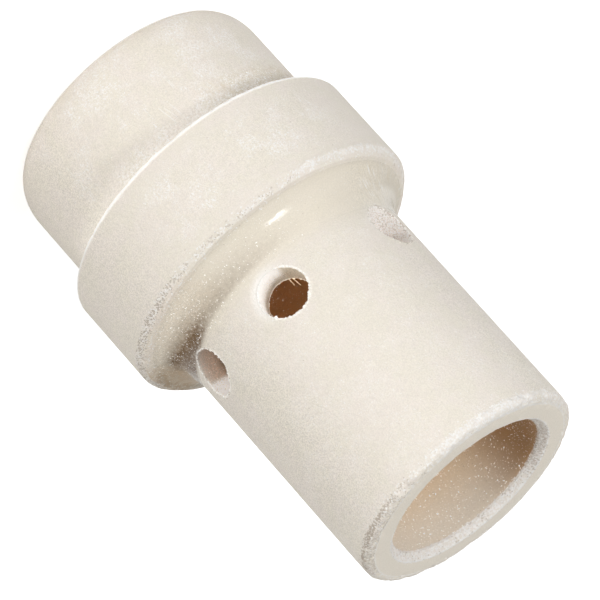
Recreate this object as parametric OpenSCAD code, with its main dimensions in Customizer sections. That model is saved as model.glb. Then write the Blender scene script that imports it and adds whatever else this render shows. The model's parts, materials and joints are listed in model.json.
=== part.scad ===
// Gas diffuser for a gas-shielded welding torch, moulded and drilled in one piece.
// The origin is the centre of the rear rim and +Z runs along the bore to the front mouth.
// Angles round the part start at +X and turn towards +Y.

/* [Length] */
// Length from the rear rim to the front end
overall_length = 32.5; // [30:0.5:40]
// Length of the drum, from the rear rim to the collar
drum_length = 8; // [7:0.5:9]
// Length of the collar, along the axis
collar_length = 6.5; // [5:0.5:8]

/* [Outside] */
// Diameter of the drum behind the collar
drum_d = 17; // [16.5:0.1:18]
// Diameter of the collar
collar_d = 19.7; // [19.2:0.1:21]
// Diameter of the front tube
tube_d = 15; // [14.6:0.1:15.4]

/* [Inside] */
// Diameter of the bore that ends at the front mouth
bore_d = 10.6; // [10:0.1:11]
// Diameter of the socket in the rear end
socket_d = 12.4; // [11.6:0.1:13]
// Depth of the socket in the rear end
socket_depth = 8; // [5:0.5:10]

/* [Edges] */
// Rounding of the drum's rear edge, measured inwards along the radius
rear_round_r = 1.15; // [0.6:0.05:1.4]
// Rounding of the drum's rear edge, measured along the axis
rear_round_z = 2; // [1:0.1:3]
// Chamfer on the rear edge of the collar
collar_rear_chamfer = 0.2; // [0.1:0.05:0.3]
// Chamfer on the front edge of the collar
collar_front_chamfer = 0.45; // [0.3:0.05:0.6]
// Length of the concave blend from the collar to the tube, along the axis
blend_length = 2.4; // [1.5:0.1:3]
// Rounding of the tube's front edge, measured inwards along the radius
front_round_r = 0.6; // [0.3:0.05:0.8]
// Rounding of the tube's front edge, measured along the axis
front_round_z = 0.4; // [0.2:0.05:0.8]
// Width of the chamfer round the front mouth, measured along the radius
mouth_chamfer_r = 0.42; // [0.2:0.02:0.6]
// Depth of the chamfer round the front mouth, measured along the axis
mouth_chamfer_z = 0.45; // [0.2:0.05:0.8]
// Chamfer round the mouth of the rear socket
socket_chamfer = 0.3; // [0.1:0.05:0.4]

/* [Gas ports] */
// Number of radial gas ports in one row round the tube
port_count = 6; // [5:1:7]
// Diameter of each gas port
port_d = 3; // [2:0.1:3.2]
// Distance from the collar's front face to the middle of the port row
port_row_offset = 3.8; // [3:0.1:5]
// Angle of the first port
first_port_angle = 210; // [0:5:355]
// How far each of the first three drilled ports is off its even angle, in degrees
port_turn = [-5.6, 3, 0.4]; // [-6:0.2:6]
// How far each of the first three drilled ports is off the row, along the axis
port_shift = [-0.05, 0.5, -0.25]; // [-0.5:0.05:0.5]

/* [Hidden] */
drum_r = drum_d / 2;
collar_r = collar_d / 2;
tube_r = tube_d / 2;
bore_r = bore_d / 2;
socket_r = socket_d / 2;
collar_front_z = drum_length + collar_length;
port_row_z = collar_front_z + port_row_offset;
// The blend starts where the collar's front chamfer ends
blend_r = collar_r - collar_front_chamfer - tube_r;
arc_steps = 8;
cut = 0.5;
$fn = 96;

// Points of a quarter ellipse, as [radius, z], that bulges away from its centre.
// It runs from the angle start to start + 90 degrees, measured from the radius towards +Z.
function quarter(centre_r, centre_z, half_r, half_z, start) =
    [for (i = [0 : arc_steps])
        let (angle = start + 90 * i / arc_steps)
        [centre_r + half_r * cos(angle), centre_z + half_z * sin(angle)]];

// The same points from the last one to the first
function backwards(points) = [for (i = [len(points) - 1 : -1 : 0]) points[i]];

// Half of the outer section, from the rear rim to the front end
function outer_section() = concat(
    [[0, 0]],
    quarter(drum_r - rear_round_r, rear_round_z, rear_round_r, rear_round_z, 270),
    [
        [drum_r, drum_length],
        [collar_r - collar_rear_chamfer, drum_length],
        [collar_r, drum_length + collar_rear_chamfer],
        [collar_r, collar_front_z - collar_front_chamfer],
    ],
    backwards(quarter(tube_r + blend_r, collar_front_z + blend_length, blend_r, blend_length, 180)),
    quarter(tube_r - front_round_r, overall_length - front_round_z, front_round_r, front_round_z, 0),
    [[0, overall_length]]
);

// The place of port i, where only the first three are off their even places
function port_angle(i) =
    first_port_angle + i * 360 / port_count + (i < len(port_turn) ? port_turn[i] : 0);
function port_z(i) = port_row_z + (i < len(port_shift) ? port_shift[i] : 0);

module socket_and_bore() {
    translate([0, 0, -cut]) cylinder(r = bore_r, h = overall_length + 2 * cut);
    translate([0, 0, -cut]) cylinder(r = socket_r, h = socket_depth + cut);
}

// A cone that widens past the end face by the same slope as inside it
module mouth_chamfers() {
    slope = mouth_chamfer_r / mouth_chamfer_z;
    translate([0, 0, overall_length - mouth_chamfer_z])
        cylinder(r1 = bore_r, r2 = bore_r + mouth_chamfer_r + slope * cut, h = mouth_chamfer_z + cut);
    translate([0, 0, -cut])
        cylinder(r1 = socket_r + socket_chamfer + cut, r2 = socket_r, h = socket_chamfer + cut);
}

module gas_port(angle, z) {
    rotate([0, 0, angle]) translate([0, 0, z]) rotate([0, 90, 0])
        cylinder(d = port_d, h = collar_r);
}

module gas_diffuser() {
    color([0.93, 0.91, 0.86]) difference() {
        rotate_extrude() polygon(outer_section());
        socket_and_bore();
        mouth_chamfers();
        for (i = [0 : port_count - 1]) gas_port(port_angle(i), port_z(i));
    }
}

gas_diffuser();
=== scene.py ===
"""The looks of the moulded gas diffuser: a dense mesh over the CAD frame, its material and a studio.

Lengths are millimetres in the row's frame: +Z runs along the bore to the front mouth, and angles round the
part start at +X and turn towards +Y. MM turns a length into Blender's metres. Colours are linear.
"""

import itertools
import json
import math

import bmesh
import bpy
import numpy as np
from mathutils import Matrix, Vector


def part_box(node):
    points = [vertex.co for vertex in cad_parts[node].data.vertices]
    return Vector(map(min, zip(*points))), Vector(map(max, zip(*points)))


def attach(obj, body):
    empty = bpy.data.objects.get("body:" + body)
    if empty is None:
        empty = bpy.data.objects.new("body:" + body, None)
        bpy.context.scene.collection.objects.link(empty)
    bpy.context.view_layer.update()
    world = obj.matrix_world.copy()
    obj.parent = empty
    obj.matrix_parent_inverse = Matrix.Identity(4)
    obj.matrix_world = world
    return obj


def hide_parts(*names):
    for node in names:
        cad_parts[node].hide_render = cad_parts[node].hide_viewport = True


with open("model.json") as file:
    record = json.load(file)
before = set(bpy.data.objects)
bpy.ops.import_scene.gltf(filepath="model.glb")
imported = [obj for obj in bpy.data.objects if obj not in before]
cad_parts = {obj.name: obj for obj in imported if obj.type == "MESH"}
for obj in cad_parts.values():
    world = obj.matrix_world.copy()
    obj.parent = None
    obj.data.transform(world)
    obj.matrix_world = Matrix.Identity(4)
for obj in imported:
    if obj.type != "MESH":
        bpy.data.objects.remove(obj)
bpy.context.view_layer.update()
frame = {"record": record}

MM = 0.001

# ---- Sizes from the frame ----
MOUNTS = {m["name"]: m for m in frame["record"]["mounts"]}
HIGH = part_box("gas_diffuser")[1]


def mount_radius(name):
    return MOUNTS[name]["dims"]["r_mm"]


LENGTH = HIGH.z / MM
DRUM_R = mount_radius("drum")
COLLAR_R = mount_radius("collar")
BORE_R = mount_radius("front_bore")
SOCKET_R = mount_radius("rear_socket")

# ---- Sizes that the frame doesn't name, the same as in the CAD. A pair is (across, along) ----
TUBE_R = 7.5
DRUM_LENGTH = 8.0
COLLAR_LENGTH = 6.5
COLLAR_FRONT = DRUM_LENGTH + COLLAR_LENGTH
SOCKET_DEPTH = 8.0
REAR_ROUND = (1.15, 2.0)
COLLAR_REAR_CHAMFER = 0.2
COLLAR_FRONT_CHAMFER = 0.45
BLEND_LENGTH = 2.4
BLEND_WIDTH = COLLAR_R - COLLAR_FRONT_CHAMFER - TUBE_R
FRONT_ROUND = (0.6, 0.4)
MOUTH_CHAMFER = (0.42, 0.45)
SOCKET_CHAMFER = 0.3
PORT_R = 1.5
PORT_ROW = COLLAR_FRONT + 3.8
PORT_COUNT = 6
FIRST_PORT = 210.0
# How far each port stands off an even ring: in degrees, in height, and aside at its inner end.
PORT_TURN = (-5.6, 3.0, 0.4, 0.0, 0.0, 0.0)
PORT_SHIFT = (-0.05, 0.5, -0.25, 0.0, 0.0, 0.0)
PORT_LEAN = (0.0, 0.12, 0.0, 0.0, 0.0, 0.0)

# ---- Corners of the section, as (radius, height) ----
REAR_EDGE = (COLLAR_R - COLLAR_REAR_CHAMFER, DRUM_LENGTH)
REAR_SIDE = (COLLAR_R, DRUM_LENGTH + COLLAR_REAR_CHAMFER)
FRONT_SIDE = (COLLAR_R, COLLAR_FRONT - COLLAR_FRONT_CHAMFER)
FRONT_EDGE = (COLLAR_R - COLLAR_FRONT_CHAMFER, COLLAR_FRONT)
TIP_SIDE = (TUBE_R, LENGTH - FRONT_ROUND[1])
TIP_FACE = (TUBE_R - FRONT_ROUND[0], LENGTH)
MOUTH_FACE = (BORE_R + MOUTH_CHAMFER[0], LENGTH)
MOUTH_BORE = (BORE_R, LENGTH - MOUTH_CHAMFER[1])

# ---- How strong each finish, painted shade and painted light is at each port, from 0 to 1 ----
PORT_WALL_SHADE = (0.1, 0.12, 1.0, 0.4, 0.4, 0.4)
PORT_WEAR_AND_LIGHT = (0.2, 1.0, 0.2, 0.5, 0.5, 0.5)
PORT_LIP = (0.4, 0.85, 0.9, 0.7, 0.7, 0.7)
PORT_PALE = (0.9, 0.0, 0.0, 0.3, 0.3, 0.3)
# PORT_GLOW is painted light: how much the pale wall glows.
PORT_GLOW = (0.35, 1.0, 1.0, 0.0, 0.0, 0.0)
PORT_CRUMBS = (0.9, 0.0, 0.35, 0.3, 0.3, 0.3)
# PORT_INNER_LINE is a thin line round a port's inner end that glows as painted light.
PORT_INNER_LINE = (0.0, 1.0, 0.15, 0.3, 0.3, 0.3)
# The worn side of every port, which is also its lit side, as a direction (round the part, up). There the
# rim is cut back and painted white, partly as a painted highlight, and the wall is painted pale and glows
# as painted light.
WORN_LIT_SIDE = (0.75, -0.66)

# ---- Burrs on the ports' rims: the port's index, degrees round its rim, and height ----
BURRS = (
    (1, 32, 0.16),
    (1, 54, 0.12),
    (1, 64, 0.10),
    (1, 100, 0.09),
    (1, 134, 0.11),
    (1, 165, 0.09),
    (2, 150, 0.08),
)

# ---- Two drilling fibres on the second port's inner rim: angle and height of each end ----
FIBRES = (
    (266.5, 17.12, 266.4, 17.98),
    (264.9, 17.25, 263.4, 18.22),
)
FIBRE_R = 0.036
FIBRE_TAPER = 0.5
FIBRE_SAG = 0.03
FIBRE_DROP = 0.05
FIBRE_RINGS = 9
FIBRE_SIDES = 6
FIBRE_SCALE = 6.0
# Painted light: the fibres glow so that they show pale in the port's shade.
FIBRE_GLOW = 0.3

# ---- Thin marks on the drum and the collar: angle and height of each end ----
SCRATCHES = (
    (251.9, 3.70, 251.4, 4.95),
    (251.1, 3.95, 250.8, 4.80),
    (259.8, 5.60, 258.2, 6.60),
    (261.5, 5.40, 259.8, 6.90),
    (257.2, 5.40, 255.8, 7.00),
    (266.0, 4.80, 265.8, 5.90),
    (306.0, 3.60, 306.3, 6.50),
    (291.2, 8.40, 294.6, 8.28),
)
SCRATCH_WIDTH = 0.045

# ---- Mesh density ----
CELL_COLUMNS = 96
STRIP_ROWS = 60
STRIP = (15.9, 20.9)
OUTER_STEP = 0.085
INNER_STEP = 0.16
EDGE_STEP = 0.04
BLEND_POINTS = 20
COLLAR_FINE = 1.2
TIP_FINE = 1.4
MOUTH_FINE = 3.0
SHARP_CORNER = math.cos(math.radians(25))
RIM_ROUND = 0.07
RING_COUNT = 22
RING_GATHER = 1.25
WALL_ROWS = 26

# ---- Wear in the mesh: cell sizes of its patterns, and heights and depths ----
FINE_CELL, MIDDLE_CELL, BROAD_CELL = 0.17, 0.36, 2.4
CHIP_CELL, NICK_CELL, BURR_CELL = 0.55, 0.22, 0.10
WAVE_HEIGHT = 0.005
GRAIN_HEIGHT = 0.0018
CHIP_DEPTH = 0.16
NICK_DEPTH = 0.10
WORN_DEPTH = 0.16


# ---- Section of the part ----
def tube_radius(z):
    """Outer radius of the concave blend and the tube at height z."""
    rise = np.clip((np.asarray(z, float) - COLLAR_FRONT) / BLEND_LENGTH, 0, 1)
    turn = np.arccos(1 - rise)
    return TUBE_R + BLEND_WIDTH * (1 - np.sin(turn))


def straight(start, end, step):
    """Points from start to end, both kept."""
    start, end = np.array(start, float), np.array(end, float)
    count = max(1, math.ceil(np.linalg.norm(end - start) / step))
    return start + (end - start) * np.linspace(0, 1, count + 1)[:, None]


def arc(centre, halves, first, last, step):
    """Points on an ellipse from angle first to last in degrees, from the radius towards +Z."""
    length = math.radians(abs(last - first)) * max(halves)
    angles = np.radians(np.linspace(first, last, max(4, math.ceil(length / step)) + 1))
    return np.stack([centre[0] + halves[0] * np.cos(angles), centre[1] + halves[1] * np.sin(angles)], 1)


def joined(runs):
    """One path from runs whose ends meet."""
    return np.concatenate([run[:-1] for run in runs[:-1]] + [runs[-1]])


def softened(path, radius):
    """The path with each sharp corner cut back by radius and rounded with a short curve."""
    ahead = np.diff(path, axis=0)
    lengths = np.linalg.norm(ahead, axis=1)
    ways = ahead / lengths[:, None]
    done = [path[:1]]
    for i in range(1, len(path) - 1):
        if ways[i - 1] @ ways[i] > SHARP_CORNER:
            done.append(path[i:i + 1])
            continue
        t = np.linspace(0, 1, 6)[:, None]
        before = path[i] - ways[i - 1] * radius
        after = path[i] + ways[i] * radius
        done.append((1 - t) ** 2 * before + 2 * t * (1 - t) * path[i] + t ** 2 * after)
    done.append(path[-1:])
    return np.concatenate(done)


def thinned(path, radius):
    """The path without the points that leave no room for rounding a sharp corner."""
    ahead = np.diff(path, axis=0)
    ways = ahead / np.linalg.norm(ahead, axis=1)[:, None]
    turns = np.einsum("ij,ij->i", ways[:-1], ways[1:])
    corners = path[1:-1][turns <= SHARP_CORNER]
    keep = np.ones(len(path), bool)
    for corner in corners:
        gap = np.linalg.norm(path - corner, axis=1)
        keep &= (gap < 1e-9) | (gap > radius * 1.3)
    return path[keep]


def rear_path():
    """From the bottom of the ports' strip in the bore, round the rear end, to its bottom outside."""
    rim_r = DRUM_R - REAR_ROUND[0]
    socket_rim = (SOCKET_R + SOCKET_CHAMFER, 0)
    fine_from = (COLLAR_R, COLLAR_FRONT - COLLAR_FINE)
    blend_z = np.linspace(COLLAR_FRONT, STRIP[0], BLEND_POINTS)
    runs = [
        straight((BORE_R, STRIP[0]), (BORE_R, SOCKET_DEPTH), INNER_STEP),
        straight((BORE_R, SOCKET_DEPTH), (SOCKET_R, SOCKET_DEPTH), INNER_STEP),
        straight((SOCKET_R, SOCKET_DEPTH), (SOCKET_R, SOCKET_CHAMFER), INNER_STEP),
        straight((SOCKET_R, SOCKET_CHAMFER), socket_rim, OUTER_STEP),
        straight(socket_rim, (rim_r, 0), OUTER_STEP),
        arc((rim_r, REAR_ROUND[1]), REAR_ROUND, 270, 360, OUTER_STEP),
        straight((DRUM_R, REAR_ROUND[1]), (DRUM_R, DRUM_LENGTH), OUTER_STEP),
        straight((DRUM_R, DRUM_LENGTH), REAR_EDGE, OUTER_STEP),
        straight(REAR_EDGE, REAR_SIDE, EDGE_STEP),
        straight(REAR_SIDE, fine_from, OUTER_STEP),
        straight(fine_from, FRONT_SIDE, EDGE_STEP),
        straight(FRONT_SIDE, FRONT_EDGE, EDGE_STEP),
        np.stack([tube_radius(blend_z), blend_z], 1),
    ]
    return softened(thinned(joined(runs), RIM_ROUND), RIM_ROUND)


def front_path():
    """From the top of the strip outside, round the front end, to the strip's top in the bore."""
    fine_from = (TUBE_R, LENGTH - TIP_FINE)
    fine_to = (BORE_R, MOUTH_BORE[1] - MOUTH_FINE)
    runs = [
        straight((TUBE_R, STRIP[1]), fine_from, OUTER_STEP),
        straight(fine_from, TIP_SIDE, EDGE_STEP),
        arc((TIP_FACE[0], TIP_SIDE[1]), FRONT_ROUND, 0, 90, EDGE_STEP),
        straight(TIP_FACE, MOUTH_FACE, OUTER_STEP),
        straight(MOUTH_FACE, MOUTH_BORE, EDGE_STEP),
        straight(MOUTH_BORE, fine_to, OUTER_STEP),
        straight(fine_to, (BORE_R, STRIP[1]), INNER_STEP),
    ]
    return softened(thinned(joined(runs), RIM_ROUND), RIM_ROUND)


# ---- Gas ports ----
def port_places():
    """Angle in radians and height of each port."""
    places = []
    for i in range(PORT_COUNT):
        degrees = FIRST_PORT + i * 360 / PORT_COUNT + PORT_TURN[i]
        places.append((math.radians(degrees), PORT_ROW + PORT_SHIFT[i]))
    return places


def column_angles(places):
    """Angles of all mesh columns, in one cell per port whose sides lie halfway to its neighbours."""
    middles = [a for a, _ in places]
    before = [middles[-1] - 2 * math.pi] + middles[:-1]
    sides = [(a + b) / 2 for a, b in zip(before, middles)]
    sides.append(sides[0] + 2 * math.pi)
    cells = [np.linspace(a, b, CELL_COLUMNS + 1)[:-1] for a, b in zip(sides[:-1], sides[1:])]
    return np.concatenate(cells + [[sides[-1]]])


def on_round(radius, angle, z):
    """Points at a radius, an angle in radians and a height."""
    z = np.broadcast_to(z, np.shape(radius))
    return np.stack([radius * np.cos(angle), radius * np.sin(angle), z], -1)


class Patches:
    """Grids of points and the faces between them, merged into one closed mesh at the end."""

    def __init__(self):
        self.points, self.faces, self.count = [], [], 0

    def add(self, grid, closed):
        """A rows by columns grid of points. A closed grid joins its last column to its first."""
        rows, columns = grid.shape[:2]
        index = self.count + np.arange(rows * columns).reshape(rows, columns)
        if closed:
            index = np.concatenate([index, index[:, :1]], 1)
        quads = np.stack([index[:-1, :-1], index[:-1, 1:], index[1:, 1:], index[1:, :-1]], -1)
        self.points.append(grid.reshape(-1, 3))
        self.faces.append(quads.reshape(-1, 4))
        self.count += rows * columns

    def merged(self):
        points = np.concatenate(self.points)
        faces = np.concatenate(self.faces)
        _, first, where = np.unique(np.round(points / 1e-6), axis=0, return_index=True, return_inverse=True)
        return points[first], where.reshape(-1)[faces]


def cell_border(columns, rows):
    """The border of one cell as (angle, z), once round it."""
    low, high = rows[0], rows[-1]
    return np.concatenate([
        np.stack([columns[:-1], np.full(len(columns) - 1, low)], 1),
        np.stack([np.full(len(rows) - 1, columns[-1]), rows[:-1]], 1),
        np.stack([columns[:0:-1], np.full(len(columns) - 1, high)], 1),
        np.stack([np.full(len(rows) - 1, columns[0]), rows[:0:-1]], 1),
    ])


def add_port(patches, place, lean, columns, rows):
    """The outer surface round one port, the port's wall, and the bore's surface round it."""
    middle, height = place
    border = cell_border(columns, rows)
    heading = np.arctan2(border[:, 1] - height, (border[:, 0] - middle) * TUBE_R)
    outward = np.array([math.cos(middle), math.sin(middle), 0])
    sideways = np.array([-math.sin(middle), math.cos(middle), 0])
    upward = np.array([0, 0, 1.0])

    def surface(radius_at, hole_r, aside):
        """Rings of points on a round surface, from the port's rim out to the cell's border."""
        z = height + hole_r * np.sin(heading)
        angle = middle + np.arcsin((aside + hole_r * np.cos(heading)) / radius_at(z))
        rim = np.stack([angle, z], 1)
        shares = (np.linspace(0, 1, RING_COUNT + 1) ** RING_GATHER)[:, None, None]
        rings = rim + (border - rim) * shares
        rings[-1] = border
        return on_round(radius_at(rings[..., 1]), rings[..., 0], rings[..., 1])

    def wall_row(hole_r, radius_at, depth, aside):
        """One ring of the wall at a depth under a round surface, as distances out, sideways and up."""
        across = aside + hole_r * np.cos(heading)
        z = height + hole_r * np.sin(heading)
        out = np.sqrt(radius_at(z) ** 2 - across ** 2) - depth
        return out, across, z

    def in_space(out, across, z):
        return out[:, None] * outward + across[:, None] * sideways + z[:, None] * upward

    def bore_radius(z):
        return np.full(np.shape(z), BORE_R)

    turns = np.radians([0, 30, 60, 90])
    rim = [(PORT_R + RIM_ROUND * (1 - math.sin(t)), RIM_ROUND * (1 - math.cos(t))) for t in turns]
    outer_rows = [wall_row(hole_r, tube_radius, depth, 0.0) for hole_r, depth in rim]
    inner_rows = [wall_row(hole_r, bore_radius, -depth, lean) for hole_r, depth in rim[::-1]]
    start, end = outer_rows[-1], inner_rows[0]
    between = []
    for share in np.linspace(0, 1, WALL_ROWS + 1)[1:-1]:
        between.append(tuple(a + (b - a) * share for a, b in zip(start, end)))
    wall = np.stack([in_space(*row) for row in outer_rows + between + inner_rows])
    patches.add(surface(tube_radius, PORT_R + RIM_ROUND, 0.0), closed=True)
    patches.add(wall, closed=True)
    patches.add(surface(bore_radius, PORT_R + RIM_ROUND, lean), closed=True)


def body_mesh():
    """Points and faces of the sleeve: its two ends, and one cell per port in the strip between."""
    places = port_places()
    angles = column_angles(places)
    rows = np.linspace(STRIP[0], STRIP[1], STRIP_ROWS + 1)
    patches = Patches()
    for path in (rear_path(), front_path()):
        radii = np.repeat(path[:, :1], len(angles) - 1, axis=1)
        patches.add(on_round(radii, angles[:-1], path[:, 1:]), closed=True)
    for i, place in enumerate(places):
        columns = angles[i * CELL_COLUMNS:(i + 1) * CELL_COLUMNS + 1]
        add_port(patches, place, PORT_LEAN[i], columns, rows)
    return patches.merged()


def add_object(name, mesh):
    made = bpy.data.objects.new(name, mesh)
    bpy.context.scene.collection.objects.link(made)
    return made


def build_body():
    points, faces = body_mesh()
    mesh = bpy.data.meshes.new("diffuser_body")
    mesh.from_pydata((points * MM).tolist(), [], faces.tolist())
    work = bmesh.new()
    work.from_mesh(mesh)
    bmesh.ops.recalc_face_normals(work, faces=work.faces)
    work.to_mesh(mesh)
    work.free()
    mesh.polygons.foreach_set("use_smooth", [True] * len(mesh.polygons))
    return add_object("diffuser_body", mesh)


def add_fibre(work, start, end):
    """A closed tapered sliver from start to end, bowed a little sideways."""
    sag = Vector((0, 0, FIBRE_SAG)).cross(end - start)
    turn = (end - start).to_track_quat("Z", "Y")
    angles = [2 * math.pi * i / FIBRE_SIDES for i in range(FIBRE_SIDES)]
    rings = []
    for share in np.linspace(0, 1, FIBRE_RINGS):
        middle = start.lerp(end, share) + sag * math.sin(math.pi * share)
        size = FIBRE_R * (1 - FIBRE_TAPER * share)
        corners = [turn @ Vector((size * math.cos(a), size * math.sin(a), 0)) for a in angles]
        rings.append([work.verts.new((middle + corner) * MM) for corner in corners])
    for low, high in zip(rings[:-1], rings[1:]):
        for i in range(FIBRE_SIDES):
            work.faces.new((low[i], low[i - 1], high[i - 1], high[i]))
    work.faces.new(rings[0])
    work.faces.new(rings[-1][::-1])


def build_fibres():
    """Thin tapered slivers that cross the second port's inner end."""
    work = bmesh.new()
    for start_angle, start_z, end_angle, end_z in FIBRES:
        start = on_round(np.array(BORE_R), math.radians(start_angle), start_z)
        end = on_round(np.array(BORE_R - FIBRE_DROP), math.radians(end_angle), end_z)
        add_fibre(work, Vector(start.tolist()), Vector(end.tolist()))
    bmesh.ops.recalc_face_normals(work, faces=work.faces)
    mesh = bpy.data.meshes.new("port_fibres")
    work.to_mesh(mesh)
    work.free()
    return add_object("port_fibres", mesh)


# ---- Wear and grain in the mesh ----
def lattice_values(cells, seed):
    """A fixed pseudo-random value from -1 to 1 for each whole-numbered lattice point."""
    mixed = (cells[:, 0] * 73856093) ^ (cells[:, 1] * 19349663) ^ (cells[:, 2] * 83492791)
    mixed = mixed ^ (seed * 2654435761)
    mixed = (mixed ^ (mixed >> 13)) * 1274126177 & 0x7FFFFFFF
    mixed = (mixed ^ (mixed >> 15)) * 668265263 & 0x7FFFFFFF
    return (mixed >> 7 & 0xFFFF) / 32767.5 - 1


def noise(points, cell, seed):
    """Smooth values from -1 to 1 that change over about one cell, in mm."""
    scaled = points / cell + 1000.5
    base = np.floor(scaled).astype(np.int64)
    part = scaled - base
    part = part * part * (3 - 2 * part)
    total = np.zeros(len(points))
    for corner in itertools.product((0, 1), repeat=3):
        weight = np.prod(np.where(corner, part, 1 - part), axis=1)
        total += weight * lattice_values(base + np.array(corner), seed)
    return total


def edge_gap(r, z, start, end):
    """Distance in the section from each point to the straight edge from start to end."""
    start, way = np.array(start), np.array(end) - np.array(start)
    share = np.clip(((r - start[0]) * way[0] + (z - start[1]) * way[1]) / (way @ way), 0, 1)
    return np.hypot(r - start[0] - share * way[0], z - start[1] - share * way[1])


def fade(gap, width):
    """1 at no gap, falling smoothly to 0 at width."""
    share = np.clip(1 - gap / width, 0, 1)
    return share * share * (3 - 2 * share)


def rise(value, low, high):
    """0 below low, 1 above high, smooth between."""
    share = np.clip((value - low) / (high - low), 0, 1)
    return share * share * (3 - 2 * share)


def angle_gap(angle, middle):
    """Degrees between each angle and a middle one, the short way round."""
    return np.abs((angle - middle + 180) % 360 - 180)


def span(angle, start, end, soft):
    """1 between two angles in degrees, falling smoothly to 0 over soft degrees outside them."""
    half = (end - start) / 2
    return 1 - rise(angle_gap(angle, start + half), half, half + soft)


class Spots:
    """The mesh's points as radius, height and angle in degrees, and the masks that others use."""

    def __init__(self, points):
        self.points = points
        self.r = np.hypot(points[:, 0], points[:, 1])
        self.z = points[:, 2]
        self.angle = np.degrees(np.arctan2(points[:, 1], points[:, 0])) % 360
        # The angle again, from 180 to 540, so that it has no jump where the fillet's shade lies.
        self.turned = (self.angle - 180) % 360 + 180
        self.outer = self.r > TUBE_R - 0.1
        self.bore = self.r < BORE_R + 0.05
        self.drum = (self.z < DRUM_LENGTH) * (self.r > SOCKET_R + 1)
        self.tip = self.r > TIP_FACE[0] + 0.02
        self.collar_front = (np.abs(self.z - COLLAR_FRONT) < 1.5) * (self.r > TUBE_R + 1)
        self.fillet = self.fillet_mask()
        self.band = rise(self.z, 5.4, 6.2) * self.drum * span(self.angle, 198, 232, 20)
        self.inside = self.inside_mask()

    def gap(self, start, end):
        return edge_gap(self.r, self.z, start, end)

    def corner_gap(self, corner):
        return np.hypot(self.r - corner[0], self.z - corner[1])

    def fillet_mask(self):
        """The glossy concave blend, up to a little short of the collar's edge."""
        off_edge = rise(self.corner_gap(FRONT_EDGE), 0.04, 0.20)
        off_tube = 1 - rise(self.z, COLLAR_FRONT + 1.9, COLLAR_FRONT + 3.0)
        return off_edge * (self.z > COLLAR_FRONT - 0.02) * off_tube * self.outer

    def inside_mask(self):
        """The bore behind its mouth's chamfer, and the socket."""
        bore = rise(BORE_R + 0.05 - self.r, -0.02, 0.03) * (self.z < MOUTH_BORE[1] + 0.03)
        socket = (self.r < SOCKET_R + 0.05) * (self.z < SOCKET_DEPTH + 0.05)
        return np.maximum(bore, socket)


def highest(*masks):
    return np.maximum.reduce(masks)


def pale_side(at):
    """Where the collar's front edge is chalky."""
    return span(at.angle, 190, 235, 25)


def dark_side(at):
    """Where the worn edges are dark and gritty."""
    return span(at.angle, 315, 350, 30)


def crumb_height(at):
    """The height of the crumbs on the collar's front chamfer, which drops towards its dark side."""
    return COLLAR_FRONT - 0.16 - 0.16 * rise(at.angle, 275, 305) - 0.10 * rise(at.angle, 330, 345)


def powder_mask(at):
    """White powder on the collar's front edge, the tip's edge and the mouth's chamfer."""
    pale, dark = pale_side(at), dark_side(at)
    chalk_height = COLLAR_FRONT - 0.01 - 0.30 * pale
    chalk = fade(np.abs(at.z - chalk_height), 0.13 + 0.27 * pale) * (0.22 + 0.40 * pale)
    among_crumbs = fade(np.abs(at.z - crumb_height(at)), 0.35) * (0.42 + 0.10 * dark) * (1 - pale)
    tip_share = 0.35 + 0.4 * span(at.angle, 228, 262, 22) + 0.2 * pale
    return highest(
        np.maximum(chalk, among_crumbs) * at.collar_front,
        fade(at.gap(TIP_SIDE, TIP_FACE), 0.42) * tip_share * at.tip,
        fade(at.gap(MOUTH_FACE, MOUTH_BORE), 0.14),
    )


def crumb_mask(at):
    """Dark crumbs on the same edges."""
    pale, dark = pale_side(at), dark_side(at)
    on_collar = fade(np.abs(at.z - crumb_height(at)), 0.24 + 0.12 * dark) * (0.36 + 0.34 * dark)
    on_tip = fade(at.gap(TIP_SIDE, TIP_FACE), 0.32) * rise(at.angle, 272, 305) * (0.50 + 0.55 * dark)
    far_mouth = span(at.angle, 138, 165, 25)
    return highest(
        on_collar * at.collar_front * (1 - pale),
        on_tip * at.tip,
        fade(at.gap(MOUTH_FACE, MOUTH_BORE), 0.12) * (0.10 + 0.75 * far_mouth),
    )


def line_mask(at):
    """Thin bright lines along the collar's rear edge, the mouth's two edges and the face's outer edge,
    partly pale edges and partly painted highlights where they catch the light.
    """
    near_side = span(at.angle, 240, 260, 30)
    return highest(
        fade(at.gap(REAR_EDGE, REAR_SIDE), 0.14),
        0.7 * fade(at.corner_gap(MOUTH_BORE), 0.07),
        0.8 * fade(at.corner_gap(MOUTH_FACE), 0.07) * (1 - 0.6 * near_side),
        0.6 * fade(at.corner_gap(TIP_FACE), 0.06),
    )


def ragged_mask(at):
    """How ragged each edge is."""
    return highest(
        fade(at.gap(TIP_SIDE, TIP_FACE), 0.40),
        0.45 * fade(at.gap(MOUTH_FACE, MOUTH_BORE), 0.25),
        0.8 * fade(np.abs(at.z - COLLAR_FRONT + 0.2), 0.4) * at.collar_front,
        0.5 * fade(at.gap(REAR_EDGE, REAR_SIDE), 0.2),
    )


def lit_mask(at):
    """Painted light: a faint glow on the drum behind the collar, and a stronger one on the collar's rear
    edge.
    """
    behind_collar = rise(at.z, 5.8, 7.2) * at.drum * span(at.angle, 243, 330, 18)
    rear_edge = fade(at.gap(REAR_EDGE, REAR_SIDE), 0.13) * span(at.angle, 195, 300, 30)
    return np.maximum(0.08 * behind_collar, 0.22 * rear_edge)


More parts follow.
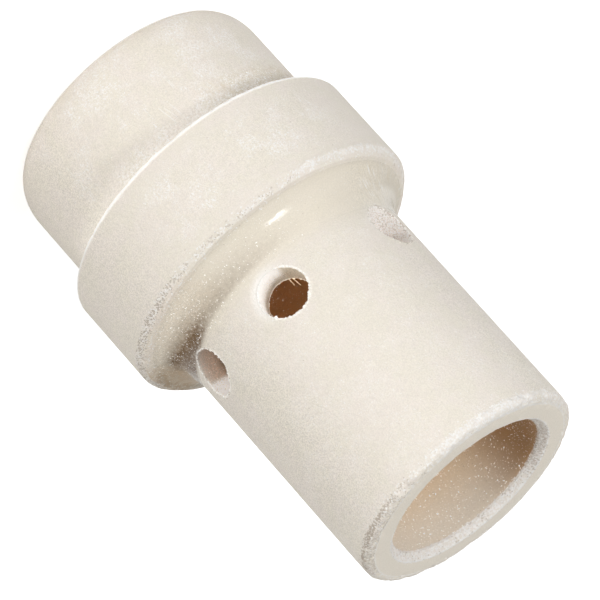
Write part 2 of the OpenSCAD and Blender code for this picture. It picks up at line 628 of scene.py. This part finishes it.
def shade_mask(at):
    """Painted shade: brown darkness in the fillet where it lies in shadow, which deepens and then creeps up
    to the collar.
    """
    turned, z = at.turned, at.z
    deep = 0.43 * rise(turned, 240, 305) + 0.57 * rise(turned, 303, 325) - 0.42 * rise(turned, 345, 362)
    deep = deep * (1 - rise(turned, 362, 388))
    creep = np.clip((turned - 325) / 20, 0, 1)
    full_at = COLLAR_FRONT + 1.45 - 0.80 * creep
    spread = 1.15 - 0.7 * creep
    end = COLLAR_FRONT + 1.75 + 0.2 * rise(turned, 305, 330)
    along = np.clip((z - full_at + spread) / spread, 0, 1) * (1 - rise(z, end, end + 0.45))
    return along * deep * at.outer * (z > COLLAR_FRONT - 0.1)


def grime_and_shade_mask(at):
    """A brown tint on the fillet, partly grime and partly painted shade, strongest past the deep shade,
    where it also covers the collar's edge.
    """
    turned, z = at.turned, at.z
    on_fillet = np.maximum(0.15 * span(turned, 300, 350, 15), 0.72 * span(turned, 359, 378, 18))
    on_collar = 0.62 * span(turned, 376, 382, 10) * rise(z, COLLAR_FRONT - 2.9, COLLAR_FRONT - 1.0)
    grime = np.where(z > COLLAR_FRONT - 0.15, np.maximum(on_fillet, on_collar), on_collar)
    return grime * (1 - rise(z, 15.5, 16.3)) * at.outer


def bore_shade_mask(at):
    """Painted shade inside the mouth: brown on the bore's far side, where little light reaches."""
    along = rise(at.z, LENGTH - 5, LENGTH - 3) * (at.z < LENGTH - 0.4)
    return 0.92 * at.bore * along * span(at.angle, 141, 165, 52)


def sparkle_mask(at):
    """How much each place glitters with painted glints: bright flecks that also glow."""
    fillet_share = 0.80 + 0.3 * rise(at.turned, 285, 310)
    return highest(
        0.25 * (1 - at.fillet) * (1 - at.inside),
        at.fillet * span(at.turned, 265, 350, 30) * fillet_share,
        at.bore * (1.1 - 0.35 * rise(LENGTH - at.z, 6, 9)),
        1.4 * at.band,
    )


def spotted_mask(at):
    """How many round white spots each place has: painted glints that also glow."""
    return highest(
        at.bore * (1 - rise(LENGTH - at.z, 5, 8)),
        1.4 * at.band,
        0.7 * at.fillet * span(at.turned, 300, 345, 20),
    )


def scuff_mask(at):
    """Where pale dust lies: on the drum, on the collar's middle and lightly on the tube."""
    collar_middle = rise(at.z, DRUM_LENGTH + 0.6, DRUM_LENGTH + 2) * rise(-at.z, -14.2, -12.5)
    return highest(
        0.8 * at.drum * span(at.angle, 215, 290, 40),
        0.9 * span(at.angle, 225, 275, 25) * collar_middle * at.outer,
        0.35 * at.outer * (at.z > COLLAR_FRONT + 3),
    )


def streaky_mask(at):
    """Streaks that run up the fillet beside the first port."""
    along = rise(at.z, COLLAR_FRONT, COLLAR_FRONT + 0.2) * (1 - rise(at.z, 16.8, 18))
    return span(at.turned, 183, 203, 8) * along * at.outer


def grit_and_grazing_mask(at):
    """Where the grain's lightness swings more: beside the first port, where it is coarser, and on the side
    where light grazes the part, as painted shading of its bumps.
    """
    beside_first_port = 0.8 * span(at.turned, 183, 210, 10) * (at.z > COLLAR_FRONT)
    return np.maximum(span(at.turned, 315, 350, 30), beside_first_port) * at.outer


def burr_height(port, across, up, depth):
    """Height of the burrs on one port's rim, each a small round peak."""
    height = np.zeros(len(up))
    for burr_port, heading, tall in BURRS:
        if burr_port == port:
            turn = math.radians(heading)
            aside = np.hypot(across - PORT_R * math.cos(turn), up - PORT_R * math.sin(turn))
            height = np.maximum(height, tall * fade(np.hypot(aside, depth), 0.75 * tall))
    return height


def one_port_masks(at, i, middle, height):
    """The finishes, painted shade and painted light of one port's wall, rims and surroundings."""
    out = at.points[:, 0] * math.cos(middle) + at.points[:, 1] * math.sin(middle)
    across = -at.points[:, 0] * math.sin(middle) + at.points[:, 1] * math.cos(middle)
    up = at.z - height
    depth = tube_radius(at.z) - at.r
    share = np.clip(depth / (TUBE_R - BORE_R), 0, 1)
    rho = np.hypot(across - PORT_LEAN[i] * share, up)
    near = (out > 0) & (rho < PORT_R + 1.2)
    outer_edge = np.hypot(rho - PORT_R, np.maximum(depth, 0))
    inner_edge = np.hypot(rho - PORT_R, at.r - BORE_R)
    side = np.clip((across * WORN_LIT_SIDE[0] + up * WORN_LIT_SIDE[1]) / np.maximum(rho, 0.1), -1, 1)
    wall = near * (rho < PORT_R + 0.03) * (depth > 0.02)
    shallow = 1 - 0.65 * rise(depth, 0.6, 2.0)
    front_end = rise(up, -0.45, 0.10)
    # The pale part of the wall: its lit side, painted white as light, and the front end of a shaded port.
    pale = np.maximum(rise(side, 0.15, 0.45) * PORT_WEAR_AND_LIGHT[i] * shallow, 0.9 * front_end * PORT_WALL_SHADE[i])
    white = np.maximum(pale, PORT_PALE[i])
    return {
        "wall": wall,
        # Painted shade: brown in the wall, and darker still further in.
        "stain": wall * PORT_WALL_SHADE[i] * rise(depth, -0.6, 0.8) * (1 - 0.9 * front_end),
        "shade": wall * PORT_WALL_SHADE[i] * 0.6 * rise(depth, 0.9, 1.5) * (1 - 0.5 * front_end),
        "white": wall * white,
        # Painted light: the pale parts of the wall glow.
        "glow": wall * PORT_GLOW[i] * shallow * white,
        "rim": near * PORT_LIP[i] * fade(outer_edge, 0.17),
        # A worn bevel on the lit side, painted white partly as a highlight.
        "worn": near * PORT_WEAR_AND_LIGHT[i] * fade(outer_edge, 0.7) * np.clip(side, 0, 1) ** 1.2,
        "inner": near * PORT_INNER_LINE[i] * fade(inner_edge, 0.17),
        "burr": near * burr_height(i, across, up, depth),
        "crumbs": near * PORT_CRUMBS[i] * fade(np.abs(outer_edge - 0.05), 0.13),
    }


def port_masks(at):
    """Every port's masks together, as port_wall and so on."""
    found = {}
    for i, (middle, height) in enumerate(port_places()):
        for name, values in one_port_masks(at, i, middle, height).items():
            found["port_" + name] = np.maximum(found.get("port_" + name, 0), values)
    return found


def surface_masks(points):
    """How much of each finish, painted shade and painted light lies at each point."""
    at = Spots(points)
    return {
        "powder": powder_mask(at),
        "crumbs": crumb_mask(at),
        "line": line_mask(at),
        "ragged": ragged_mask(at),
        "lit": lit_mask(at),
        "fillet": at.fillet,
        "shade": shade_mask(at),
        "grime": grime_and_shade_mask(at),
        "smoky": bore_shade_mask(at),
        "inside": at.inside,
        "face": (at.z > LENGTH - 0.05) * (at.r > MOUTH_FACE[0]),
        "band": at.band,
        "sparkle": sparkle_mask(at),
        "spotted": spotted_mask(at),
        "scuff": scuff_mask(at),
        "streaky": streaky_mask(at),
        "grit": grit_and_grazing_mask(at),
        **port_masks(at),
    }


def wear_heights(points, masks):
    """How far each point moves along its normal."""
    fine = noise(points, FINE_CELL, 1)
    middle = noise(points, MIDDLE_CELL, 2)
    broad = noise(points, BROAD_CELL, 3)
    chip = np.clip(noise(points, CHIP_CELL, 4) - 0.25, 0, 1)
    nick = np.clip(noise(points, NICK_CELL, 5) - 0.35, 0, 1)
    burr = np.clip(noise(points, BURR_CELL, 6), 0, 1)
    grain = WAVE_HEIGHT * broad + (1 - masks["fillet"]) * GRAIN_HEIGHT * (middle + fine)
    ragged = 0.025 * fine + 0.012 * middle - 0.010 - CHIP_DEPTH * chip - NICK_DEPTH * nick
    rough_rim = 0.02 + 0.13 * burr + 0.04 * fine + 0.03 * middle
    return (
        grain
        + masks["ragged"] * ragged
        + (masks["port_rim"] + 0.5 * masks["port_inner"]) * rough_rim
        + masks["port_burr"]
        - WORN_DEPTH * masks["port_worn"]
    )


def weather(body):
    """Stores the masks on the mesh and moves its points for the wear."""
    mesh = body.data
    count = len(mesh.vertices)
    points = np.empty(count * 3, np.float32)
    normals = np.empty(count * 3, np.float32)
    mesh.vertices.foreach_get("co", points)
    mesh.vertex_normals.foreach_get("vector", normals)
    points = points.reshape(-1, 3).astype(float) / MM
    normals = normals.reshape(-1, 3)
    masks = surface_masks(points)
    moved = points + normals * wear_heights(points, masks)[:, None]
    mesh.vertices.foreach_set("co", (moved * MM).astype(np.float32).reshape(-1))
    for name, values in masks.items():
        attribute = mesh.attributes.new(name, "FLOAT", "POINT")
        attribute.data.foreach_set("value", values.astype(np.float32))
    mesh.update()


# ---- Material ----
class Graph:
    """Short calls for building the nodes of a material or the world."""

    def __init__(self, owner):
        owner.use_nodes = True
        self.owner = owner
        self.tree = owner.node_tree
        self.tree.nodes.clear()

    def put(self, kind, inputs=None, **settings):
        """A new shader node of one kind, with its inputs and settings."""
        node = self.tree.nodes.new("ShaderNode" + kind)
        for key, value in settings.items():
            setattr(node, key, value)
        for key, value in (inputs or {}).items():
            self.feed(node.inputs[key], value)
        return node

    def feed(self, socket, value):
        if isinstance(value, bpy.types.NodeSocket):
            self.tree.links.new(value, socket)
        else:
            socket.default_value = value

    def math(self, operation, a, b=0.0, c=0.0):
        return self.put("Math", {0: a, 1: b, 2: c}, operation=operation).outputs[0]

    def ramp(self, value, low, high, to_low=0.0, to_high=1.0):
        """value from low..high to to_low..to_high, smooth and held at the ends."""
        limits = {"From Min": low, "From Max": high, "To Min": to_low, "To Max": to_high}
        node = self.put("MapRange", {"Value": value, **limits}, interpolation_type="SMOOTHSTEP")
        return node.outputs["Result"]

    def mix(self, share, a, b):
        node = self.put("Mix", data_type="RGBA")
        self.feed(node.inputs["Factor"], share)
        self.feed(node.inputs["A"], a)
        self.feed(node.inputs["B"], b)
        return node.outputs["Result"]

    def times(self, a, b):
        return self.math("MULTIPLY", a, b)

    def scaled(self, vector, scale):
        node = self.put("VectorMath", {0: vector, "Scale": scale}, operation="SCALE")
        return node.outputs["Vector"]

    def vectors(self, operation, a, b):
        """The node for one operation on two vectors."""
        return self.put("VectorMath", {0: a, 1: b}, operation=operation)

    def place(self):
        """Place on the piece in mm."""
        return self.scaled(self.put("TexCoord").outputs["Object"], 1 / MM)

    def mask(self, name):
        """One of the masks stored on the mesh."""
        node = self.put("Attribute", attribute_name=name, attribute_type="GEOMETRY")
        return node.outputs["Fac"]

    def noise(self, place, per_mm, detail=2.0, rough=0.5):
        inputs = {"Vector": place, "Scale": per_mm, "Detail": detail, "Roughness": rough}
        return self.put("TexNoise", inputs).outputs["Fac"]

    def unrolled(self, place):
        """Distance round the part from its -Y side in mm, and height."""
        parts = self.put("SeparateXYZ", {0: place}).outputs
        turn = self.math("ARCTAN2", parts["X"], self.times(parts["Y"], -1.0))
        across = self.math("POWER", parts["X"], 2.0)
        radius = self.math("SQRT", self.math("ADD", across, self.math("POWER", parts["Y"], 2.0)))
        return self.put("CombineXYZ", {"X": self.times(turn, radius), "Y": parts["Z"]}).outputs[0]

    def scratch(self, around, start_angle, start_z, end_angle, end_z):
        """1 along a thin straight mark between two places on the drum or the collar, 0 elsewhere."""
        radius = DRUM_R if start_z < DRUM_LENGTH else COLLAR_R
        start = Vector((math.radians(start_angle - 270) * radius, start_z, 0))
        way = Vector((math.radians(end_angle - 270) * radius, end_z, 0)) - start
        ahead = self.vectors("SUBTRACT", around, start).outputs["Vector"]
        share = self.vectors("DOT_PRODUCT", ahead, way / way.length_squared).outputs["Value"]
        share = self.put("Clamp", {"Value": share}).outputs[0]
        gap = self.vectors("DISTANCE", ahead, self.scaled(way, share)).outputs["Value"]
        return self.ramp(gap, 0.0, SCRATCH_WIDTH, 1.0, 0.0)

    def cells(self, place, per_mm):
        """Distance from the middle of each cell of a grain, and the cell's two random values."""
        pattern = self.put("TexVoronoi", {"Vector": place, "Scale": per_mm}, feature="F1").outputs
        draws = self.put("SeparateColor", {"Color": pattern["Color"]}).outputs
        return pattern["Distance"], draws["Red"], draws["Green"]

    def flecks(self, place, per_mm, share):
        """1 in small uneven flecks, 0 elsewhere. A share of 0 gives none and 1 gives many."""
        low = self.math("MULTIPLY_ADD", share, -0.10, 0.78)
        peak = self.math("SUBTRACT", self.noise(place, per_mm, 1.0, 0.6), low)
        return self.ramp(peak, 0.0, 0.03)

    def specks(self, place, per_mm, share, radius):
        """1 in small round specks: one in each cell that wins a draw, 0 elsewhere."""
        distance, draw, size_draw = self.cells(place, per_mm)
        won = self.math("LESS_THAN", draw, share)
        size = self.math("MULTIPLY_ADD", size_draw, radius * per_mm * 0.7, radius * per_mm * 0.5)
        return self.times(won, self.ramp(self.math("DIVIDE", distance, size), 0.6, 1.0, 1.0, 0.0))


def rgb(red, green, blue):
    return (red, green, blue, 1.0)


CREAM = rgb(0.836, 0.784, 0.699)
CREAM_PINK = rgb(0.849, 0.787, 0.723)
OLIVE = rgb(0.775, 0.715, 0.605)
POWDER = rgb(0.93, 0.895, 0.86)
CRUMB = rgb(0.50, 0.425, 0.355)
# SHADE is painted shade, for the fillet's groove and deep in the ports' walls.
SHADE = rgb(0.178, 0.110, 0.060)
# Lighter than the cream, partly as painted light on the upward end face.
FACE = rgb(0.885, 0.825, 0.73)
TAN_NEAR = rgb(0.875, 0.81, 0.70)
TAN = rgb(0.835, 0.695, 0.505)
# TAN_DEEP is painted shade deep in the bore.
TAN_DEEP = rgb(0.82, 0.585, 0.335)
# Painted shade on the bore's far side.
BORE_SHADE_BROWN = rgb(0.49, 0.30, 0.15)
MOTTLE = rgb(0.66, 0.57, 0.42)
DRILLED = rgb(0.83, 0.775, 0.66)
# Painted shade in the ports' walls.
WALL_SHADE_BROWN = rgb(0.545, 0.34, 0.21)
PIT = rgb(0.45, 0.37, 0.30)
# Brown of grime and of painted shade.
GRIME_AND_SHADE = rgb(0.58, 0.43, 0.28)
# White of scratches, dust and powder, and of painted glints and highlights.
WHITE_AND_GLINT = rgb(0.98, 0.97, 0.96)
RIM = rgb(0.98, 0.965, 0.93)
# INNER_RIM is the colour of the painted glow on the ports' inner lines.
INNER_RIM = rgb(0.95, 0.78, 0.56)
# Pale wall: the ports' own pale tone, and painted light on their lit side.
PALE_AND_LIT_WALL = rgb(0.935, 0.91, 0.89)
FIBRE_PALE = rgb(0.90, 0.80, 0.62)
FIBRE_DARK = rgb(0.70, 0.52, 0.34)

# ---- Scales of the material's patterns, per mm ----
GRAIN_SCALE = 12.0
COARSE_SCALE = 4.5
CLUMP_SCALE = 2.6
PATCH_SCALE = 0.5
FINE_PATCH_SCALE = 7.0
CLOUD_SCALE = 0.45
CRUMB_SCALE = 11.5
DUST_SCALE = 11.0
PIT_SCALE = 9.0
GLINT_SCALE = 10.0
SPOT_SCALE = 2.4
SPOT_R = 0.055
HOLE_SCALE = 0.9
HOLE_R = 0.05
# Streaks along the fillet: how many per mm round the part and along it.
STREAK_SCALE = (7.0, 1.4, 1.0)
# A second reading of a pattern is taken this far from the first.
PATTERN_SHIFT = (3.7, 1.9, 5.3)


class Patterns:
    """The patterns that the moulding's finishes share."""

    def __init__(self, g):
        self.place = g.place()
        self.shifted = g.vectors("ADD", self.place, PATTERN_SHIFT).outputs["Vector"]
        self.around = g.unrolled(self.place)
        self.grain = g.noise(self.place, GRAIN_SCALE, 2.0, 0.6)
        self.coarse = g.noise(self.place, COARSE_SCALE, 2.0, 0.6)
        self.clump = g.noise(self.place, CLUMP_SCALE, 3.0, 0.65)
        self.patch = g.noise(self.place, PATCH_SCALE, 5.0, 0.7)
        self.fine_patch = g.noise(self.place, FINE_PATCH_SCALE, 2.0, 0.6)
        self.cloud = g.ramp(g.noise(self.place, CLOUD_SCALE, 4.0, 0.65), 0.44, 0.60)
        _, self.crumb_draw, self.powder_draw = g.cells(self.place, CRUMB_SCALE)


def skin_colour(g, patterns):
    """Cream skin in two near tones, the smoother end face, painted lighter partly as the light it gets from
    above, and the olive fillet.
    """
    colour = g.mix(g.ramp(patterns.patch, 0.38, 0.62), CREAM, CREAM_PINK)
    colour = g.mix(g.mask("face"), colour, FACE)
    return g.mix(g.times(g.mask("fillet"), 0.75), colour, OLIVE)


def port_colour(g, patterns, colour):
    """The drilled walls in grains: painted brown shade where they lie in shadow, and a pale tone that is
    painted light on their lit side.
    """
    wall, stain = g.mask("port_wall"), g.mask("port_stain")
    colour = g.mix(wall, colour, DRILLED)
    speckle = g.ramp(patterns.grain, 0.3, 0.7, -0.45, 0.45)
    swing = g.math("MULTIPLY_ADD", stain, 0.7, g.times(wall, 0.15))
    colour = g.mix(g.math("MULTIPLY_ADD", speckle, swing, stain), colour, WALL_SHADE_BROWN)
    blanched = g.times(g.mask("port_white"), g.math("ADD", speckle, 1.0))
    return g.mix(blanched, colour, PALE_AND_LIT_WALL)


def inside_colour(g, patterns, colour):
    """The tan bore, painted browner with the distance from the mouth as shade deeper in, and painted brown
    shade on its far side.
    """
    height = g.put("SeparateXYZ", {0: patterns.place}).outputs["Z"]
    depth = g.math("SUBTRACT", LENGTH, height)
    tan = g.mix(g.ramp(depth, 1.0, 5.0), TAN_NEAR, TAN)
    tan = g.mix(g.ramp(depth, 4.0, 10.0), tan, TAN_DEEP)
    tan = g.mix(g.mask("smoky"), tan, BORE_SHADE_BROWN)
    return g.mix(g.mask("inside"), colour, tan)


def dirt_and_shade_colour(g, patterns, colour):
    """Painted brown shade in the fillet and in the ports' walls, a tint of grime and painted shade, and the
    mottled band on the drum.
    """
    shade = g.times(g.mask("shade"), g.ramp(patterns.coarse, 0.3, 0.7, 1.2, 0.8))
    colour = g.mix(g.math("MAXIMUM", shade, g.mask("port_shade")), colour, SHADE)
    mottled = g.times(g.mask("band"), g.ramp(patterns.clump, 0.40, 0.60, 0.1, 0.45))
    colour = g.mix(mottled, colour, MOTTLE)
    grime = g.times(g.mask("grime"), g.ramp(patterns.clump, 0.35, 0.65, 0.65, 1.3))
    return g.mix(grime, colour, GRIME_AND_SHADE)


def grained(g, patterns, colour):
    """Lightness that varies with the grain, more so where it is scuffed, drilled, gritty, or grazed by
    light as painted shading of the bumps.
    """
    swing = g.math("MULTIPLY_ADD", g.mask("scuff"), 0.04, 0.05)
    swing = g.math("MULTIPLY_ADD", g.mask("grit"), 0.10, swing)
    swing = g.math("MULTIPLY_ADD", g.mask("port_wall"), 0.20, swing)
    fine = g.ramp(patterns.grain, 0.25, 0.75, -1.0, 1.0)
    coarse = g.ramp(patterns.coarse, 0.25, 0.75, -0.15, 0.15)
    return g.scaled(colour, g.math("MULTIPLY_ADD", g.math("ADD", fine, coarse), swing, 1.0))


def dusted(g, patterns, colour):
    """Pale dust in clouds and flecks, and white powder on the worn edges."""
    dust = g.times(patterns.cloud, g.mask("scuff"))
    scuffed = g.times(g.times(dust, g.ramp(patterns.fine_patch, 0.42, 0.60)), 0.6)
    colour = g.mix(scuffed, colour, POWDER)
    flecks = g.flecks(patterns.shifted, DUST_SCALE, g.math("MULTIPLY_ADD", dust, 1.7, 0.65))
    colour = g.mix(g.times(flecks, 0.7), colour, WHITE_AND_GLINT)
    powder = g.mask("powder")
    white = g.ramp(g.math("MULTIPLY_ADD", patterns.clump, 1.6, powder), 1.05, 1.5, 0.0, 0.55)
    colour = g.mix(white, colour, POWDER)
    white_grain = g.math("LESS_THAN", patterns.powder_draw, g.times(powder, 0.5))
    return g.mix(g.times(white_grain, 0.7), colour, WHITE_AND_GLINT)


def marked(g, patterns, colour):
    """Streaks on the fillet and thin white scratches."""
    drawn_out = g.vectors("MULTIPLY", patterns.around, STREAK_SCALE).outputs["Vector"]
    streak = g.noise(drawn_out, 1.0, 3.0, 0.65)
    streaky = g.mask("streaky")
    colour = g.mix(g.times(streaky, g.ramp(streak, 0.55, 0.66, 0.0, 0.8)), colour, WHITE_AND_GLINT)
    colour = g.mix(g.times(streaky, g.ramp(streak, 0.34, 0.44, 0.7, 0.0)), colour, MOTTLE)
    broken = g.ramp(patterns.coarse, 0.35, 0.6, 0.1, 0.6)
    for scratch in SCRATCHES:
        colour = g.mix(g.times(g.scratch(patterns.around, *scratch), broken), colour, WHITE_AND_GLINT)
    return colour


def port_rims(g, patterns):
    """Share of white on the ports' rims and burrs, which also glow as painted highlights."""
    rim = g.times(g.mask("port_rim"), g.ramp(patterns.fine_patch, 0.38, 0.58, 0.3, 1.0))
    return g.math("MAXIMUM", rim, g.ramp(g.mask("port_burr"), 0.0, 0.04))


def edged(g, patterns, colour, rims):
    """Bright lines and rims, partly painted highlights, and dark crumbs over them."""
    bright = g.math("MAXIMUM", g.mask("line"), g.mask("port_worn"))
    colour = g.mix(g.times(bright, 0.85), colour, WHITE_AND_GLINT)
    colour = g.mix(rims, colour, RIM)
    crumbs = g.math("MAXIMUM", g.mask("crumbs"), g.mask("port_crumbs"))
    dark_grain = g.math("LESS_THAN", patterns.crumb_draw, g.times(crumbs, 0.55))
    dark_share = g.math("MULTIPLY_ADD", g.mask("grit"), 0.35, 0.5)
    return g.mix(g.times(dark_grain, dark_share), colour, CRUMB)


def glinting(g, patterns, colour):
    """The colour with pits, and with bright flecks and white spots as painted glints, and the glow of the
    flecks and spots.
    """
    sparkle = g.math("MAXIMUM", g.mask("sparkle"), g.times(g.mask("port_wall"), 0.7))
    holes = g.specks(patterns.place, HOLE_SCALE, 0.10, HOLE_R)
    pits = g.math("MAXIMUM", holes, g.flecks(patterns.shifted, PIT_SCALE, g.times(sparkle, 0.5)))
    colour = g.mix(g.times(pits, 0.7), colour, PIT)
    glints = g.flecks(patterns.place, GLINT_SCALE, sparkle)
    colour = g.mix(glints, colour, WHITE_AND_GLINT)
    spots = g.times(g.specks(patterns.shifted, SPOT_SCALE, 0.6, SPOT_R), g.mask("spotted"))
    colour = g.mix(spots, colour, WHITE_AND_GLINT)
    strength = g.math("MULTIPLY_ADD", g.mask("inside"), 0.30, 0.06)
    strength = g.math("MULTIPLY_ADD", g.mask("fillet"), 0.12, strength)
    return colour, g.math("MAXIMUM", g.times(glints, strength), g.times(spots, 0.55))


def edge_glow(g, patterns, glow, rims):
    """Painted light: the strongest of the glow so far and that of the ports, their rims and inner lines,
    and the collar's rear edge.
    """
    lit = g.times(g.mask("lit"), g.ramp(patterns.fine_patch, 0.38, 0.58, 0.5, 1.2))
    in_ports = g.times(g.mask("port_glow"), 0.18)
    inner_line = g.times(g.mask("port_inner"), 0.95)
    for other in (in_ports, g.times(rims, 0.26), lit, inner_line):
        glow = g.math("MAXIMUM", glow, other)
    return glow


def roughness(g):
    """Matt, apart from the fillet, which is glossy where no grime and painted shade lies on it."""
    polish = g.times(g.mask("fillet"), g.ramp(g.mask("grime"), 0.15, 0.55, 1.0, 0.2))
    return g.math("MULTIPLY_ADD", polish, -0.50, 0.58)


def relief(g, patterns):
    """Bumps of the grain, powder and crumbs. The grain's are fainter on the fillet and inside."""
    bumps = g.math("ADD", g.times(patterns.grain, 0.045), g.times(patterns.coarse, 0.035))
    smooth = g.math("MAXIMUM", g.mask("fillet"), g.mask("inside"))
    bumps = g.times(bumps, g.math("MULTIPLY_ADD", smooth, -0.8, 1.0))
    gritty = g.math("MAXIMUM", g.mask("powder"), g.mask("crumbs"))
    bumps = g.math("ADD", bumps, g.times(gritty, g.times(patterns.crumb_draw, 0.03)))
    return g.put("Bump", {"Height": bumps, "Distance": MM, "Strength": 1.0}).outputs["Normal"]


def moulding_material():
    g = Graph(bpy.data.materials.new("cream_moulding"))
    patterns = Patterns(g)
    rims = port_rims(g, patterns)
    colour = skin_colour(g, patterns)
    for step in (port_colour, inside_colour, dirt_and_shade_colour, grained, dusted, marked):
        colour = step(g, patterns, colour)
    colour = edged(g, patterns, colour, rims)
    colour, glow = glinting(g, patterns, colour)
    shader = g.put("BsdfPrincipled", {
        "Base Color": colour,
        "Roughness": roughness(g),
        "IOR": 1.5,
        "Normal": relief(g, patterns),
        "Emission Color": g.mix(g.mask("port_inner"), WHITE_AND_GLINT, INNER_RIM),
        "Emission Strength": edge_glow(g, patterns, glow, rims),
    })
    g.put("OutputMaterial", {"Surface": shader.outputs["BSDF"]})
    # The painted glow is too faint to light anything, so it isn't sampled as a lamp.
    g.owner.cycles.emission_sampling = "NONE"
    return g.owner


def fibre_material():
    g = Graph(bpy.data.materials.new("drilling_fibre"))
    colour = g.mix(g.ramp(g.noise(g.place(), FIBRE_SCALE), 0.3, 0.7), FIBRE_DARK, FIBRE_PALE)
    shader = g.put("BsdfPrincipled", {
        "Base Color": colour,
        "Roughness": 0.6,
        "Emission Color": colour,
        "Emission Strength": FIBRE_GLOW,
    })
    g.put("OutputMaterial", {"Surface": shader.outputs["BSDF"]})
    return g.owner


# ---- Floor, lights and camera ----
FLOOR_SIZE = 4000.0
FLOOR_GREY = rgb(0.9, 0.9, 0.9)
# The floor's glow, which only the camera sees, rises over this distance in metres to hide the far edge.
FLOOR_GLOW = (0.65, 1.1)
FLOOR_GLOW_REACH = (0.15, 0.7)
WORLD_LIGHT = 0.2
WHITE = rgb(1.0, 1.0, 1.0)
AIM = Vector((0, 0, 16.67))
VIEW_DISTANCE = 290.8
VIEW_ELEVATION = 22.91
VIEW_ROLL = 138.3
LENS = 300.0
SENSOR = 36
CLIP = (0.01, 10)
LIGHT_DISTANCE = 600.0
COOL = (0.99, 0.995, 1.0)
WARM = (1.0, 0.985, 0.945)


def direction(azimuth, elevation):
    """Unit vector towards an angle round +Z from +X and an angle above the floor, in degrees."""
    a, e = math.radians(azimuth), math.radians(elevation)
    return Vector((math.cos(a) * math.cos(e), math.sin(a) * math.cos(e), math.sin(e)))


def floor_material():
    g = Graph(bpy.data.materials.new("pale_floor"))
    matt = g.put("BsdfDiffuse", {"Color": FLOOR_GREY}).outputs[0]
    away = g.vectors("DISTANCE", g.put("TexCoord").outputs["Object"], (0, 0, 0)).outputs["Value"]
    strength = g.ramp(away, *FLOOR_GLOW_REACH, *FLOOR_GLOW)
    glow = g.put("Emission", {"Color": WHITE, "Strength": strength}).outputs[0]
    both = g.put("AddShader", {0: matt, 1: glow}).outputs[0]
    seen = g.put("LightPath").outputs["Is Camera Ray"]
    shown = g.put("MixShader", {0: seen, 1: matt, 2: both}).outputs[0]
    g.put("OutputMaterial", {"Surface": shown})
    return g.owner


def build_floor():
    half = FLOOR_SIZE / 2 * MM
    corners = [(-half, -half, 0), (half, -half, 0), (half, half, 0), (-half, half, 0)]
    mesh = bpy.data.meshes.new("floor")
    mesh.from_pydata(corners, [], [(0, 1, 2, 3)])
    mesh.materials.append(floor_material())
    add_object("floor", mesh)


def build_world():
    """A faint warm light from all round, which the camera sees as white."""
    world = bpy.data.worlds.new("studio")
    g = Graph(world)
    light = g.put("Background", {"Color": rgb(*WARM), "Strength": WORLD_LIGHT}).outputs[0]
    shown = g.put("Background", {"Color": WHITE, "Strength": 1.0}).outputs[0]
    seen = g.put("LightPath").outputs["Is Camera Ray"]
    both = g.put("MixShader", {0: seen, 1: light, 2: shown}).outputs[0]
    g.put("OutputWorld", {"Surface": both})
    bpy.context.scene.world = world


def softbox(name, azimuth, elevation, size, radiance, tint, mirrored=False):
    """A rectangular lamp that faces the part. Only a mirrored one shows as a highlight on glossy skin."""
    lamp = bpy.data.lights.new(name, "AREA")
    lamp.shape = "RECTANGLE"
    lamp.size, lamp.size_y = size[0] * MM, size[1] * MM
    lamp.energy = radiance * math.pi * lamp.size * lamp.size_y
    lamp.color = tint
    light = add_object(name, lamp)
    way = direction(azimuth, elevation)
    turn = way.to_track_quat("Z", "Y").to_matrix().to_4x4()
    light.matrix_world = Matrix.Translation((AIM + way * LIGHT_DISTANCE) * MM) @ turn
    light.visible_glossy = mirrored


def build_lights():
    softbox("main", -135, 44, (240, 240), 7.3, COOL)
    softbox("lamp", -130, 50, (72, 72), 43.0, COOL, mirrored=True)
    softbox("above", -90, 80, (240, 240), 1.0, COOL)
    softbox("low_fill", -60, 3, (340, 80), 16.8, WARM)
    softbox("behind_low", 60, 15, (320, 160), 5.0, WARM)
    softbox("behind_high", 120, 40, (240, 240), 2.5, WARM)


def build_camera():
    back = direction(-90, VIEW_ELEVATION)
    level = Vector((1, 0, 0))
    up = back.cross(level)
    roll = math.radians(VIEW_ROLL)
    right = level * math.cos(roll) + up * math.sin(roll)
    top = up * math.cos(roll) - level * math.sin(roll)
    spot = (AIM + back * VIEW_DISTANCE) * MM
    data = bpy.data.cameras.new("camera")
    data.lens = LENS
    data.sensor_width = SENSOR
    data.clip_start, data.clip_end = CLIP
    camera = add_object("camera", data)
    camera.matrix_world = Matrix((
        (right.x, top.x, back.x, spot.x),
        (right.y, top.y, back.y, spot.y),
        (right.z, top.z, back.z, spot.z),
        (0, 0, 0, 1),
    ))
    bpy.context.scene.camera = camera


body = build_body()
weather(body)
body.data.materials.append(moulding_material())
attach(body, "root")
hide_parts("gas_diffuser")

fibres = build_fibres()
fibres.data.materials.append(fibre_material())
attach(fibres, "root")

build_floor()
build_world()
build_lights()
build_camera()
bpy.context.scene.view_settings.view_transform = "Standard"
bpy.context.scene.cycles.diffuse_bounces = 10
